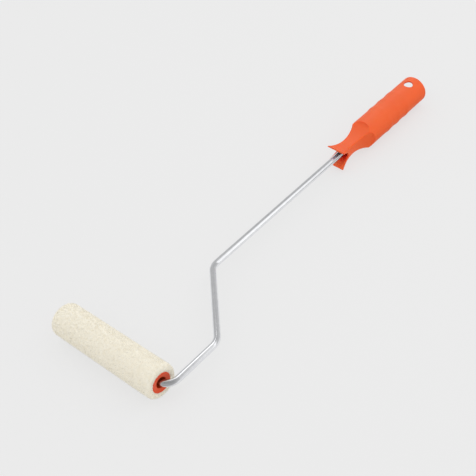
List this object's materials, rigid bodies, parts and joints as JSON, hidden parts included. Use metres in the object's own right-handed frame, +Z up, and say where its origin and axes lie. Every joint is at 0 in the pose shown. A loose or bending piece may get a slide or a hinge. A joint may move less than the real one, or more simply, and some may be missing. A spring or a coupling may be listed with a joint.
{
  "type": "small paint roller",
  "caption": "Small paint roller: a fleece sleeve spins on a cranked wire frame; its hollow moulded handle hangs from a hook or takes a push-in pole.",
  "frame": {"origin": "middle of the footprint, on the surface that the roller lies on", "axes": "+X along the sleeve's axis, towards the side where the wire leaves it, +Y from the sleeve to the handle, +Z up from the surface"},
  "size_m": [0.1254, 0.4312, 0.0296],
  "materials": {
    "handle_plastic": "orange polypropylene, satin moulded",
    "cap_plastic": "orange polypropylene, moulded",
    "core_plastic": "off-white polypropylene tube",
    "bearing_plastic": "natural acetal",
    "zinc_wire": "bright zinc plated, drawn",
    "fleece": "short cream fleece pile"
  },
  "bodies": {
    "frame": {"handle": "handle_plastic", "wire_frame": "zinc_wire"},
    "sleeve": {"sleeve_core": "core_plastic", "fleece_cover": "fleece", "near_end_cap": "cap_plastic", "far_end_cap": "cap_plastic", "snap_bearing": "bearing_plastic"}
  },
  "joints": [
    {"name": "sleeve_spin", "type": "hinge", "parent": "frame", "child": "sleeve", "pos_m": [-0.00525, -0.2008, 0.0148], "axis": [1, 0, 0], "continuous": true}
  ]
}
